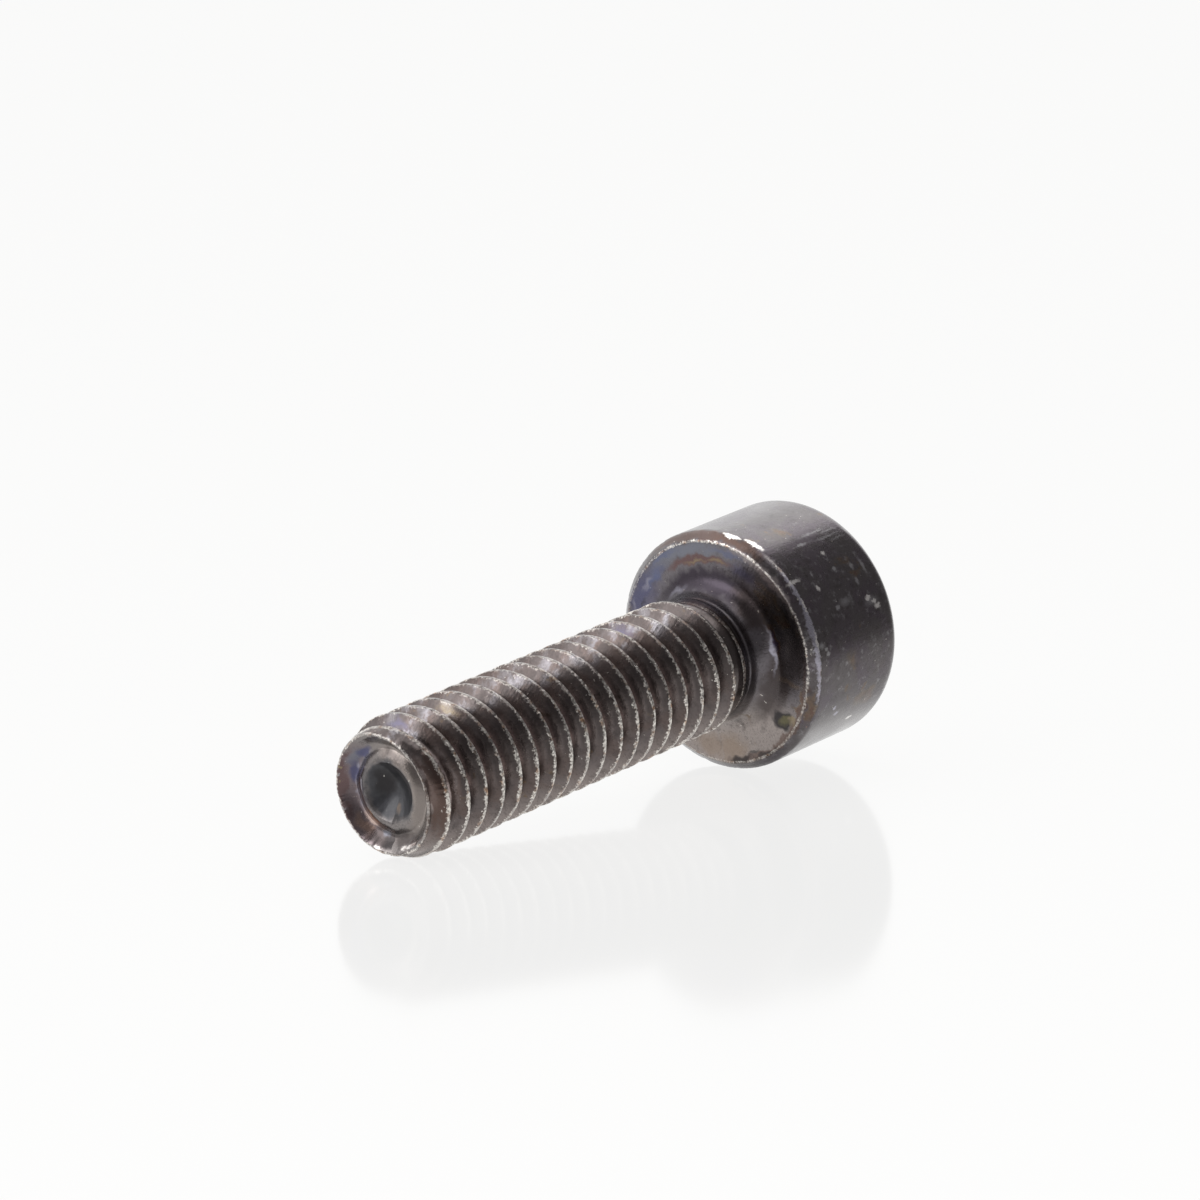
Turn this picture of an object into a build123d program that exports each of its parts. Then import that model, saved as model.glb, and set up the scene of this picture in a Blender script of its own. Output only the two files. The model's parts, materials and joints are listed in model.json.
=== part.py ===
from build123d import *
from math import atan2, cos, degrees, radians, sin
import os

# Hexagon socket head cap screw, M4 x 14, threaded up to its head.
# It lies as it comes to rest: the rim of the head's bearing side and the shank's far end touch
# the floor. Lengths are in millimetres. Z is up, X runs from head to tip, and the origin is on
# the floor, under the middle of the screw's length.

# Head
head_diameter = 6.88
head_height = 4.0
head_top_rounding = 0.5
bearing_edge_bevel = 0.24

# Hexagon socket
socket_across_flats = 3.04
socket_depth = 2.1
socket_floor_cone_depth = 0.45
socket_mouth_margin = 0.1

# Shank, measured from the bearing face; its diameter is that of the thread's crests
shank_length = 14.0
crest_diameter = 3.91
end_taper_length = 0.8
end_taper_drop = 0.255
end_rim_width = 0.05

# Neck under the head, which the thread runs out into at 45 degrees
neck_drop = 0.205
neck_length = 1.3
under_head_fillet = 0.6

# Dished end that thread rolling leaves: a groove round a raised lip, and the cup inside the lip
groove_width = 0.35
groove_depth = 0.33
lip_depth = 0.17
cup_mouth_diameter = 1.68
cup_floor_diameter = 0.4
cup_depth = 0.62

# Radii and lengths that follow from the sizes above
head_radius = head_diameter / 2
crest_radius = crest_diameter / 2
end_rim_radius = crest_radius - end_taper_drop
dish_mouth_radius = end_rim_radius - end_rim_width
neck_radius = crest_radius - neck_drop
neck_end = neck_length + neck_drop
cup_mouth_radius = cup_mouth_diameter / 2
socket_inner_radius = socket_across_flats / 2
socket_mouth_radius = socket_inner_radius / cos(radians(30)) + socket_mouth_margin
taper_start = shank_length - end_taper_length

# Resting pose: a line that touches the head's rim and the last full crest lies on the floor
rest_angle = atan2(head_radius - crest_radius, taper_start + bearing_edge_bevel)
along = Vector(cos(rest_angle), 0, -sin(rest_angle))
upward = Vector(sin(rest_angle), 0, cos(rest_angle))

# Reach of the head and of the tip along X, from the centre of the bearing face
head_reach = (
    (head_height - head_top_rounding) * cos(rest_angle)
    + (head_radius - head_top_rounding) * sin(rest_angle)
    + head_top_rounding
)
tip_reach = shank_length * cos(rest_angle) + end_rim_radius * sin(rest_angle)
bearing_centre = Vector(
    (head_reach - tip_reach) / 2,
    0,
    head_radius * cos(rest_angle) - bearing_edge_bevel * sin(rest_angle),
)

# The screw's axis, its half section with X outward and Y from head to tip, and its head's top
screw_axis = Axis(bearing_centre, along)
section_plane = Plane(origin=bearing_centre, x_dir=upward, z_dir=(0, 1, 0))
head_top_plane = Plane(
    origin=bearing_centre - along * head_height, x_dir=(0, 1, 0), z_dir=-along
)

with BuildPart() as screw:
    # Head, neck, shank, tapered end and dished tip, turned in one piece
    with BuildSketch(section_plane):
        with BuildLine():
            Polyline(
                (0, -head_height),
                (head_radius, -head_height),
                (head_radius, -bearing_edge_bevel),
                (head_radius - bearing_edge_bevel, 0),
                (neck_radius, 0),
                (neck_radius, neck_length),
                (crest_radius, neck_end),
                (crest_radius, taper_start),
                (end_rim_radius, shank_length),
                (dish_mouth_radius, shank_length),
                (cup_mouth_radius + groove_width, shank_length - groove_depth),
                (cup_mouth_radius, shank_length - lip_depth),
                (cup_floor_diameter / 2, shank_length - cup_depth),
                (0, shank_length - cup_depth),
                close=True,
            )
        make_face()
    revolve(axis=screw_axis)

    # Rounding round the head's top, and the fillet that carries the load under the head
    circles = screw.edges().filter_by(GeomType.CIRCLE)
    head_top_edge = circles.group_by(screw_axis)[0]
    fillet(head_top_edge, radius=head_top_rounding)
    circles = screw.edges().filter_by(GeomType.CIRCLE)
    under_head_edge = circles.sort_by_distance(bearing_centre)[0]
    fillet(under_head_edge, radius=under_head_fillet)

    # Hexagon socket
    with BuildSketch(head_top_plane):
        RegularPolygon(socket_inner_radius, 6, major_radius=False)
    extrude(amount=-socket_depth, mode=Mode.SUBTRACT)

    # Countersink at the socket's mouth, 45 degrees, and the cone that the punch leaves below
    with BuildSketch(section_plane):
        with BuildLine():
            Polyline(
                (0, -head_height),
                (socket_mouth_radius, -head_height),
                (0, -head_height + socket_mouth_radius),
                close=True,
            )
        make_face()
        with BuildLine():
            Polyline(
                (0, -head_height + socket_depth),
                (socket_inner_radius, -head_height + socket_depth),
                (0, -head_height + socket_depth + socket_floor_cone_depth),
                close=True,
            )
        make_face()
    revolve(axis=screw_axis, mode=Mode.SUBTRACT)

screw.part.label = "screw"
os.makedirs("parts", exist_ok=True)
export_step(screw.part, "parts/screw.step")
print(f"rests at {degrees(rest_angle):.3f} degrees, bearing face centre {bearing_centre}")
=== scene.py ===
"""Looks of a dark oxide cap screw that lies on a white table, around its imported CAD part.

The screw is one closed surface worked out with numpy: rings of points from the bottom of the
hexagon socket out over the head and down to the neck, a helical ribbon for the thread, and rings
again from the end's rim down into its cup. Lengths are in millimetres in the classes of the screw
and the camera, and in metres in the table and in the meshes. The screw's own coordinates are the
radius from its axis, the azimuth round it (from the upper side towards +Y) and the reach from the
bearing face, positive towards the tip.
"""

import json
import logging
from collections.abc import Callable
from dataclasses import dataclass, field
from enum import Enum
from math import cos, radians, sin, sqrt

import bpy
import numpy as np
from mathutils import Matrix, Vector


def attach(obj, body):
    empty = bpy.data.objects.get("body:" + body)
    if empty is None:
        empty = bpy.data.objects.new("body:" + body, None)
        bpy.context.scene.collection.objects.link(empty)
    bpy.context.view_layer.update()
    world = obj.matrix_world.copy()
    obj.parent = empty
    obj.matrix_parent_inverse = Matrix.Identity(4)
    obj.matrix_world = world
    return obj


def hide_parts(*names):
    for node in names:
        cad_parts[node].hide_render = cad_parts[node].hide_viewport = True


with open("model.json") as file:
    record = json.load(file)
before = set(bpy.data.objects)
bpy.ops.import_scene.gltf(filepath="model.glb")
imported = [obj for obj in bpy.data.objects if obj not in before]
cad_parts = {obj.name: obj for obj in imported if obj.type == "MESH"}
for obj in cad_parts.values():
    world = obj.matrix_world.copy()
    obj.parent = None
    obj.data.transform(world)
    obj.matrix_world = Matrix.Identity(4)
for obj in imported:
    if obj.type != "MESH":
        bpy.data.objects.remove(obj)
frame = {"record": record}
log = logging.getLogger("screw")

# A millimetre in metres, the columns of points round the screw, the distance in millimetres that
# stands for far from any crest or edge, and a sixth of a turn
MM = 0.001
COLUMNS = 324
FAR = 1.0
SIXTH = radians(60)
Colour = tuple[float, float, float]
Place = tuple[float, float, float]
Array = np.ndarray
Socket = bpy.types.NodeSocket


@dataclass(frozen=True)
class Ripple:
    """Smooth seeded noise in space: a sum of sine waves in random directions."""

    seed: int
    wavelength: float
    waves: int = 28

    def at(self, points: Array) -> Array:
        """Noise of about unit spread: the sum over waves of sin(k . p + phase).

        Args:
            points: positions in millimetres, of shape (..., 3).

        Returns:
            The noise, of shape (...).
        """
        rng = np.random.default_rng(self.seed)
        ways = rng.normal(size=(self.waves, 3))
        ways /= np.linalg.norm(ways, axis=1, keepdims=True)
        turns = 2 * np.pi / (self.wavelength * rng.uniform(0.7, 1.5, self.waves))
        phases = rng.uniform(0, 2 * np.pi, self.waves)
        total = np.sin(points @ (ways * turns[:, None]).T + phases).sum(axis=-1)
        return total / sqrt(self.waves / 2)


def direction(azimuth: float, elevation: float = 0.0) -> Place:
    """Unit vector at an azimuth from +X and an elevation, both in degrees."""
    a, e = radians(azimuth), radians(elevation)
    return cos(a) * cos(e), sin(a) * cos(e), sin(e)


def ease(value: Array, low: float, high: float) -> Array:
    """A step from 0 at low to 1 at high, smooth at both ends: 3 t^2 - 2 t^3."""
    t = np.clip((value - low) / (high - low), 0, 1)
    return t * t * (3 - 2 * t)


@dataclass(frozen=True)
class ScrewAxis:
    """Where the screw lies: the centre of its bearing face and the directions it is built on."""

    base: Array
    along: Array
    upward: Array
    sideways: Array
    crest_radius: float
    head_radius: float

    @classmethod
    def from_record(cls, record: dict) -> "ScrewAxis":
        """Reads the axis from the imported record's mounts.

        Args:
            record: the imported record.

        Returns:
            The axis, with its radii in millimetres.
        """
        mounts = {m["name"]: m for m in record["mounts"]}
        thread, face, head = (mounts[n] for n in ("thread", "bearing_face", "head_side"))
        along = np.array(thread["axis"], float)
        along /= np.linalg.norm(along)
        start = np.array(thread["pos_m"], float)
        base = start + along * np.dot(np.array(face["pos_m"], float) - start, along)
        upward = np.array((0.0, 0.0, 1.0)) - along * along[2]
        upward /= np.linalg.norm(upward)
        return cls(base, along, upward, np.cross(upward, along),
                   thread["dims"]["r_mm"], head["dims"]["r_mm"])

    def rows(self) -> Array:
        """The directions of reach, +Y side and upper side as the rows of a matrix."""
        return np.stack((self.along, self.sideways, self.upward))

    def local(self, radius: Array, azimuth: Array, reach: Array) -> Array:
        """Position in the screw's own frame in millimetres: (reach, r sin a, r cos a)."""
        radius, azimuth, reach = np.broadcast_arrays(radius, azimuth, reach)
        return np.stack((reach, radius * np.sin(azimuth), radius * np.cos(azimuth)), axis=-1)

    def place(self, local: Array) -> Array:
        """Position in the model's frame, in metres, of a point of the screw's own frame."""
        return self.base + MM * (local @ self.rows())


@dataclass
class Rings:
    """Closed rows of points round the axis, with how far each lies from a worn edge."""

    radius: list[Array] = field(default_factory=list)
    reach: list[Array] = field(default_factory=list)
    rim: list[Array] = field(default_factory=list)

    def add(self, radius: Array | float, reach: Array | float, rim: Array | float = FAR) -> None:
        """Adds one row.

        Args:
            radius: its distance from the axis, one number or one for each column.
            reach: its distance from the bearing face.
            rim: its distance from the nearest worn edge.
        """
        for rows, value in ((self.radius, radius), (self.reach, reach), (self.rim, rim)):
            rows.append(np.broadcast_to(np.asarray(value, float), (COLUMNS,)).copy())

    def arrays(self) -> tuple[Array, Array, Array]:
        """All rows as arrays of shape (rows, columns)."""
        return np.array(self.radius), np.array(self.reach), np.array(self.rim)


@dataclass(frozen=True)
class Head:
    """Round head with a hexagon socket, a rounded top and a bevelled bearing edge."""

    radius: float = 3.44
    height: float = 4.0
    top_rounding: float = 0.5
    bevel: float = 0.24
    socket_inner_radius: float = 1.52
    socket_depth: float = 2.1
    socket_cone_depth: float = 0.45
    socket_mouth_radius: float = 1.855
    corner_azimuth: float = 30.0
    floor_rows: tuple[float, ...] = (0.3, 0.65, 0.995)
    wall_rows: tuple[float, ...] = (0.35, 0.7, 1.0)
    top_ring_radius: float = 2.4
    mouth_band: float = 0.08
    side_rows: tuple[float, ...] = (-3.1, -2.6, -2.1, -1.6, -1.1, -0.7)
    edge_band: float = 0.16
    edge_start: float = 0.03
    edge_rounding: float = 0.016
    bevel_rows: tuple[tuple[float, float], ...] = ((0.4, 0.12), (0.75, 0.07))

    def hexagon(self, azimuth: Array) -> Array:
        """The hexagon's radius: inner radius / cos(angle from the middle of the flat)."""
        from_corner = np.mod(azimuth - np.radians(self.corner_azimuth), SIXTH)
        return self.socket_inner_radius / np.cos(from_corner - SIXTH / 2)

    def socket(self, rings: Rings, azimuth: Array) -> None:
        """Adds the socket, from the rim of its floor cone up to its countersunk mouth.

        Args:
            rings: the rows to add to.
            azimuth: the azimuth of each column.
        """
        floor = -self.height + self.socket_depth
        for part in self.floor_rows:
            rings.add(self.socket_inner_radius * part, floor + self.socket_cone_depth * (1 - part))
        flats = self.hexagon(azimuth)
        mouth = -self.height + self.socket_mouth_radius - flats
        rings.add(flats, floor)
        for part in self.wall_rows:
            rings.add(flats, floor + (mouth - floor) * part)
        rings.add(self.socket_mouth_radius, -self.height, 0.0)

    def outside(self, rings: Rings) -> None:
        """Adds the top, the rounding (a quarter circle), the side and the bevel.

        The rows of the bevel lie at shares of its width, each with its distance from the nearer
        edge, and a small rounding takes off both its edges.

        Args:
            rings: the rows to add to.
        """
        inner = self.radius - self.top_rounding
        rings.add(self.socket_mouth_radius + self.mouth_band, -self.height, self.mouth_band)
        rings.add(self.top_ring_radius, -self.height)
        for turn in np.radians(np.linspace(90, 0, 9)):
            rings.add(inner + self.top_rounding * np.cos(turn),
                      -self.height + self.top_rounding * (1 - np.sin(turn)))
        for reach in self.side_rows:
            rings.add(self.radius, reach)
        rings.add(self.radius, -self.bevel - self.edge_band, self.edge_band)
        rings.add(self.radius, -self.bevel - self.edge_start, 0.0)
        small = self.edge_rounding
        rings.add(self.radius - small, -self.bevel + small, 0.02)
        for part, rim in self.bevel_rows:
            rings.add(self.radius - self.bevel * part, -self.bevel * (1 - part), rim)
        rings.add(self.radius - self.bevel + small, -0.012, 0.02)


@dataclass(frozen=True)
class Neck:
    """Flat bearing face, hollow fillet and the plain neck that the thread runs out into."""

    radius: float = 1.75
    fillet: float = 0.6
    line_reach: float = 0.76
    end_reach: float = 0.9
    run_out_reach: float = 1.3
    line_depth: float = 0.03
    line_half_width: float = 0.05
    face_rows: tuple[tuple[float, float], ...] = (
        (3.1, -0.002), (3.0, 0.0), (2.85, 0.0), (2.68, 0.0), (2.5, 0.0),
    )

    def build(self, rings: Rings, edge_radius: float) -> None:
        """Adds the bearing face, the fillet (a quarter circle) and the neck with its ring line.

        Args:
            rings: the rows to add to.
            edge_radius: the radius of the bearing face's outer edge.
        """
        root = self.radius + self.fillet
        rings.add(edge_radius - 0.025, -0.004, 0.0)
        for radius, dip in self.face_rows:
            rings.add(radius, dip, edge_radius - radius)
        for turn in np.radians(np.linspace(0, 90, 11)):
            rings.add(root - self.fillet * np.sin(turn), self.fillet * (1 - np.cos(turn)))
        rings.add(self.radius, self.line_reach - self.line_half_width)
        rings.add(self.radius - self.line_depth, self.line_reach)
        rings.add(self.radius, self.line_reach + self.line_half_width)
        rings.add(self.radius, self.end_reach)


@dataclass(frozen=True)
class End:
    """Tapered end with a ragged rim, a dished face and the cup that thread rolling leaves."""

    length: float = 14.0
    groove_radius: float = 1.19
    groove_depth: float = 0.33
    lip_radius: float = 0.84
    lip_depth: float = 0.17
    floor_depth: float = 0.62
    rim_setback: float = 0.03
    calm_columns: int = 12
    rim_width: float = 0.05
    rim_dip: float = 0.012
    unevenness: float = 0.018
    raggedness: float = 0.03
    slope_power: float = 1.15
    slope_rows: tuple[float, ...] = (0.2, 0.45, 0.7, 0.88, 1.0)
    lip_rows: tuple[float, ...] = (0.15, 0.4, 0.65, 0.85, 1.0)
    cup_rows: tuple[float, ...] = (0.05, 0.15, 0.3, 0.5, 0.7, 0.85, 0.95)
    cup_bulge: float = 0.05
    taper: tuple[tuple[float, float], ...] = (
        (0.0, 1.68), (0.05, 1.70), (0.15, 1.72), (0.35, 1.80), (0.7, 1.93), (0.8, 1.955),
    )

    def envelope(self, reach: Array) -> Array:
        """Largest radius near the end, read between the taper's (distance from tip, radius)."""
        back, radius = np.array(self.taper).T
        return np.interp(self.length - reach, back, radius)

    def build(self, rings: Rings, start: Array, azimuth: Array) -> None:
        """Adds the rim, the slope to the groove, the raised lip and the cup.

        The radius of each row goes from the rim's own outline, evened out over the columns on
        both sides, to the circle of the groove. The lip is a rounded ridge. The cup is a bowl
        that bulges a little three times round, its depth going with sin(share of the way in).

        Args:
            rings: the rows to add to.
            start: the outline's radius where the thread's ribbon ends.
            azimuth: the azimuth of each column.
        """
        circle = np.stack((np.cos(azimuth), np.sin(azimuth), 0 * azimuth), axis=-1)
        uneven = self.unevenness * Ripple(31, 0.7).at(circle * 1.2)
        ragged = self.raggedness * ease(Ripple(32, 0.25).at(circle * 1.6), -0.5, 2)
        rim = start - self.rim_setback - ragged
        shifts = range(-self.calm_columns, self.calm_columns + 1)
        calm = np.mean([np.roll(rim, shift) for shift in shifts], axis=0)
        rings.add(rim, self.length, 0.0)
        rings.add(rim - self.rim_width, self.length - self.rim_dip, self.rim_width)
        groove = self.groove_radius + uneven
        for part in self.slope_rows:
            fall = np.sin(part * np.pi / 2) ** self.slope_power
            depth = self.rim_dip + (self.groove_depth - self.rim_dip) * fall
            edge = rim - self.rim_width + (calm - rim) * min(1.0, 3 * part)
            rings.add(edge + (groove - edge) * part, self.length - depth, 0.08 + part)
        lip = self.lip_radius + 0.6 * uneven
        for part in self.lip_rows:
            rise = (self.groove_depth - self.lip_depth) * np.sin(part * np.pi / 2)
            rings.add(groove + (lip - groove) * part,
                      self.length - self.groove_depth + rise, 1.1 - part * 0.9)
        bulge = 1 + self.cup_bulge * np.cos(3 * azimuth + 0.7)
        for part in self.cup_rows:
            depth = self.lip_depth + (self.floor_depth - self.lip_depth) * np.sin(part * np.pi / 2)
            rings.add(lip * (1 - part) * (1 + (bulge - 1) * min(1.0, 4 * part)),
                      self.length - depth)


@dataclass(frozen=True)
class Thread:
    """Right-hand metric thread: flat crests, straight flanks and round roots on a helix."""

    pitch: float = 0.7
    crest_radius: float = 1.955
    crest_half_width: float = 0.044
    crest_rounding: float = 0.012
    flank_slope: float = 1.732
    root_radius: float = 0.1008
    root_share: float = 0.8661
    root_half_width: float = 0.0873
    depth: float = 0.4296
    first_crest: float = 13.035
    start_reach: float = 0.9
    end_reach: float = 13.965
    fade: tuple[float, float] = (0.3, 1.1)
    crest_band: tuple[float, float] = (0.02, 0.055)
    ripple_radius: float = 1.9
    crest_wander: float = 0.005
    crest_tremble: float = 0.003
    width_change: float = 0.007
    nick_depth: float = 0.022
    waviness: float = 0.005
    raggedness: float = 0.012
    rows: tuple[float, ...] = (
        0.0, 0.030, 0.056, 0.2627, 0.2908, 0.329, 0.371, 0.4092, 0.4373, 0.644, 0.670,
    )

    def drop(self, away: Array, half_width: Array) -> Array:
        """Depth below the crest at a distance away from its middle.

        The flank falls flank_slope times the distance past the crest's half width, a parabola
        rounds its corner, and a circular arc of root_radius closes it at the root.

        Args:
            away: distance along the axis from the middle of the nearest crest.
            half_width: the crest's half width there.

        Returns:
            The depth below the crest radius.
        """
        past = away - half_width
        flank = self.flank_slope * past
        corner = self.flank_slope * (past + self.crest_rounding) ** 2 / (4 * self.crest_rounding)
        crest = np.where(past > self.crest_rounding, flank,
                         np.where(past > -self.crest_rounding, corner, 0.0))
        off = np.minimum(self.pitch / 2 - away, self.root_radius * self.root_share)
        root = self.depth - self.root_radius + np.sqrt(self.root_radius ** 2 - off ** 2)
        return np.minimum(crest, np.where(self.pitch / 2 - away < self.root_half_width, root, crest))

    def crest_reach(self, azimuth: Array) -> Array:
        """Reach of a crest at an azimuth: it falls by a pitch for each turn of azimuth."""
        return self.first_crest - self.pitch * azimuth / (2 * np.pi)

    def surface(self, azimuth: Array, reach: Array, end: End, neck: Neck) -> tuple[Array, Array]:
        """Radius of the threaded shank, and the distance from the nearest crest.

        The helix's own radius, with its small ripples and nicks, is cut off by the taper at the
        tip, and by the neck, where the groove gets shallower and the crest fades.

        Args:
            azimuth: azimuths in radians.
            reach: distances from the bearing face.
            end: the tapered end.
            neck: the plain neck.

        Returns:
            The radius and the distance along the axis from the nearest crest.
        """
        y, z = self.ripple_radius * np.sin(azimuth), self.ripple_radius * np.cos(azimuth)
        spot = np.stack((reach, y, z), axis=-1)
        plain = (reach - self.crest_reach(azimuth)) / self.pitch
        near = 1 - ease(np.abs(plain - np.round(plain)) * self.pitch, *self.crest_band)
        wobble = near * (self.crest_wander * Ripple(11, 0.5).at(spot)
                         + self.crest_tremble * Ripple(12, 0.16).at(spot))
        turns = (reach + wobble - self.crest_reach(azimuth)) / self.pitch
        away = np.abs(turns - np.round(turns)) * self.pitch
        width = self.crest_half_width + near * self.width_change * Ripple(13, 0.4).at(spot)
        nick = self.nick_depth * near * ease(Ripple(14, 0.2).at(spot), 0.9, 2.2)
        wave = self.waviness * ease(Ripple(15, 0.9).at(spot), -2, 2)
        fall = self.drop(away, width) + nick + wave
        fade = ease(reach, neck.end_reach + self.fade[0], neck.end_reach + self.fade[1])
        fall = np.minimum(fall, (self.crest_radius - neck.radius) * (1 - fade) + self.depth * fade)
        high = np.minimum(end.envelope(reach),
                          neck.radius + np.maximum(reach - neck.run_out_reach, 0))
        ragged = self.raggedness * ease(Ripple(16, 0.2).at(spot), 0, 2)
        ragged = ragged * ease(reach, end.length - 1, end.length)
        radius = np.minimum(self.crest_radius - fall, high - ragged)
        return np.where(reach < neck.end_reach + 0.001, neck.radius, radius), away


@dataclass
class Patchwork:
    """Vertices, faces and attributes of one mesh while it is put together."""

    points: list[Array] = field(default_factory=list)
    facts: list[Array] = field(default_factory=list)
    faces: list[Array] = field(default_factory=list)
    count: int = 0

    def put(self, points: Array, facts: Array) -> Array:
        """Adds points with their facts, and returns their numbers.

        Args:
            points: local positions of shape (..., 3).
            facts: attribute values of shape (..., attributes).

        Returns:
            The index of each point, in the shape that they came in.
        """
        numbers = self.count + np.arange(points[..., 0].size).reshape(points.shape[:-1])
        self.points.append(points.reshape(-1, 3))
        self.facts.append(facts.reshape(-1, facts.shape[-1]))
        self.count += numbers.size
        return numbers

    def quads(self, grid: Array) -> None:
        """Adds the faces between neighbouring rows and columns of a grid of numbers."""
        corners = (grid[:-1, :-1], grid[:-1, 1:], grid[1:, 1:], grid[1:, :-1])
        self.faces.append(np.stack([c.ravel() for c in corners], axis=-1))

    def fan(self, ring: Array, pole: int, inward: bool) -> None:
        """Closes a ring with triangles that meet in one point.

        Args:
            ring: the ring's numbers, in column order.
            pole: the number of the point in its middle.
            inward: True where the pole comes after the ring along the surface.
        """
        following = np.roll(ring, -1)
        poles = np.full_like(ring, pole)
        first, second = (ring, following) if inward else (following, ring)
        self.faces.append(np.stack((first, second, poles, poles), axis=-1))

    def tidy_faces(self) -> list[list[int]]:
        """Takes repeated corners out of the faces, and drops those left with two or one.

        Returns:
            The corners of each face.
        """
        every = np.concatenate(self.faces)
        same = every == np.roll(every, -1, axis=1)
        whole = every[~same.any(axis=1)]
        single = same.sum(axis=1) == 1
        corners = every[single][~same[single]].reshape(-1, 3)
        distinct = np.sort(corners, axis=1)
        corners = corners[(distinct[:, 1:] != distinct[:, :-1]).all(axis=1)]
        return whole.tolist() + corners.tolist()


@dataclass
class CapScrew:
    """The whole screw as one closed mesh."""

    axis: ScrewAxis
    head: Head = Head()
    neck: Neck = Neck()
    thread: Thread = Thread()
    end: End = End()
    name: str = "cap_screw"
    large_chip: float = 0.014
    small_chip: float = 0.008
    sharp_angle: float = 38.0
    work: Patchwork = field(default_factory=Patchwork)

    def azimuths(self) -> Array:
        """Azimuth of each column; it falls from column to column, as the thread climbs."""
        return -2 * np.pi * np.arange(COLUMNS) / COLUMNS

    def chipped(self, points: Array, rim: Array) -> Array:
        """Moves points near worn edges towards the axis by small chips.

        The inward move is the sum of two ripples above a level, and fades away from the edge.

        Args:
            points: local positions.
            rim: their distances from the nearest worn edge.

        Returns:
            The moved positions.
        """
        chips = self.large_chip * ease(Ripple(21, 0.28).at(points), 0.2, 2.0)
        chips = chips + self.small_chip * ease(Ripple(22, 0.12).at(points), 0.0, 2.0)
        bite = chips * (1 - ease(rim, 0.0, 0.12))
        radius = np.maximum(np.linalg.norm(points[..., 1:], axis=-1), 1e-6)
        moved = points.copy()
        moved[..., 1:] *= (1 - bite / radius)[..., None]
        return moved

    def rings_grid(self, rings: Rings) -> tuple[Array, Array]:
        """Turns rows into local points and facts, far from any crest.

        Args:
            rings: the rows.

        Returns:
            Points of shape (rows, columns, 3) and facts of shape (rows, columns, 2).
        """
        radius, reach, rim = rings.arrays()
        points = self.chipped(self.axis.local(radius, self.azimuths(), reach), rim)
        return points, np.stack((np.full_like(rim, FAR), rim), axis=-1)

    def wrapped(self, numbers: Array) -> Array:
        """Rows of numbers with their first column repeated after the last."""
        return np.concatenate((numbers, numbers[:, :1]), axis=1)

    def ribbon(self, low_ring: Array, high_ring: Array) -> Array:
        """Adds the thread: columns climb the helix, and rows cross one pitch.

        A point that would lie beyond either end is the end ring's point of its column, so the
        ribbon begins and ends flat.

        Args:
            low_ring: numbers of the ring at the neck.
            high_ring: numbers of the ring at the tip.

        Returns:
            The numbers of the ribbon's own points, of shape (rows, columns).
        """
        t = self.thread
        behind = np.ceil((t.first_crest + t.pitch - t.start_reach) / t.pitch)
        start = t.first_crest - t.pitch * behind
        turns = int(np.ceil((t.end_reach - start) / t.pitch))
        column = np.arange(turns * COLUMNS + 1)
        row = np.array(t.rows + (t.pitch,))
        reach = start + t.pitch * column[None, :] / COLUMNS + row[:, None]
        azimuth = np.broadcast_to(-2 * np.pi * column / COLUMNS, reach.shape)
        inner = reach[:-1, :-1]
        radius, away = t.surface(azimuth[:-1, :-1], inner, self.end, self.neck)
        points = self.axis.local(radius, azimuth[:-1, :-1], inner)
        rim = np.clip(self.end.length - inner, 0, FAR)
        own = self.work.put(points, np.stack((away, rim), axis=-1))
        numbers = np.zeros(reach.shape, int)
        numbers[:-1, :-1] = own
        numbers[-1, :-COLUMNS] = numbers[0, COLUMNS:]
        place = np.broadcast_to(column % COLUMNS, reach.shape)
        slack = 0.004
        numbers = np.where(reach <= t.start_reach + slack, low_ring[place], numbers)
        numbers = np.where(reach >= t.end_reach - slack, high_ring[place], numbers)
        self.work.quads(numbers)
        return own

    def build(self) -> bpy.types.Object:
        """Builds the closed mesh with its attributes and normals.

        Returns:
            The object, at the origin, with its place in its mesh.
        """
        azimuth = self.azimuths()
        front = Rings()
        self.head.socket(front, azimuth)
        self.head.outside(front)
        self.neck.build(front, self.head.radius - self.head.bevel)
        front_grid = self.work.put(*self.rings_grid(front))
        self.work.quads(self.wrapped(front_grid))
        base = self.axis.local(0.0, 0.0, -self.head.height + self.head.socket_depth
                               + self.head.socket_cone_depth)
        pole = self.work.put(base[None], np.array([[FAR, FAR]]))[0]
        self.work.fan(front_grid[0], pole, False)

        reach = np.full(COLUMNS, self.thread.end_reach)
        outline, away = self.thread.surface(azimuth, reach, self.end, self.neck)
        tip = Rings()
        tip.add(outline, self.thread.end_reach, 0.02)
        self.end.build(tip, outline, azimuth)
        points, facts = self.rings_grid(tip)
        facts[0, :, 0] = away
        tip_grid = self.work.put(points, facts)
        self.work.quads(self.wrapped(tip_grid))
        floor = self.axis.local(0.0, 0.0, self.end.length - self.end.floor_depth)
        pole = self.work.put(floor[None], np.array([[FAR, FAR]]))[0]
        self.work.fan(tip_grid[-1], pole, True)

        self.ribbon(front_grid[-1], tip_grid[0])
        return self.finished()

    def flank_normals(self, points: Array) -> Array:
        """Normals of the thread's own points, from small steps of its formula.

        The normal is the cross product of the surface's slopes along the azimuth and the reach.

        Args:
            points: local positions on the thread.

        Returns:
            Unit normals in the model's frame.
        """
        step = 0.006
        azimuth, reach = np.arctan2(points[:, 1], points[:, 2]), points[:, 0]

        def at(turn: float, shift: float) -> Array:
            """The surface's point a small turn and shift away."""
            a, z = azimuth + turn / self.thread.ripple_radius, reach + shift
            return self.axis.local(self.thread.surface(a, z, self.end, self.neck)[0], a, z)

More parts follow.
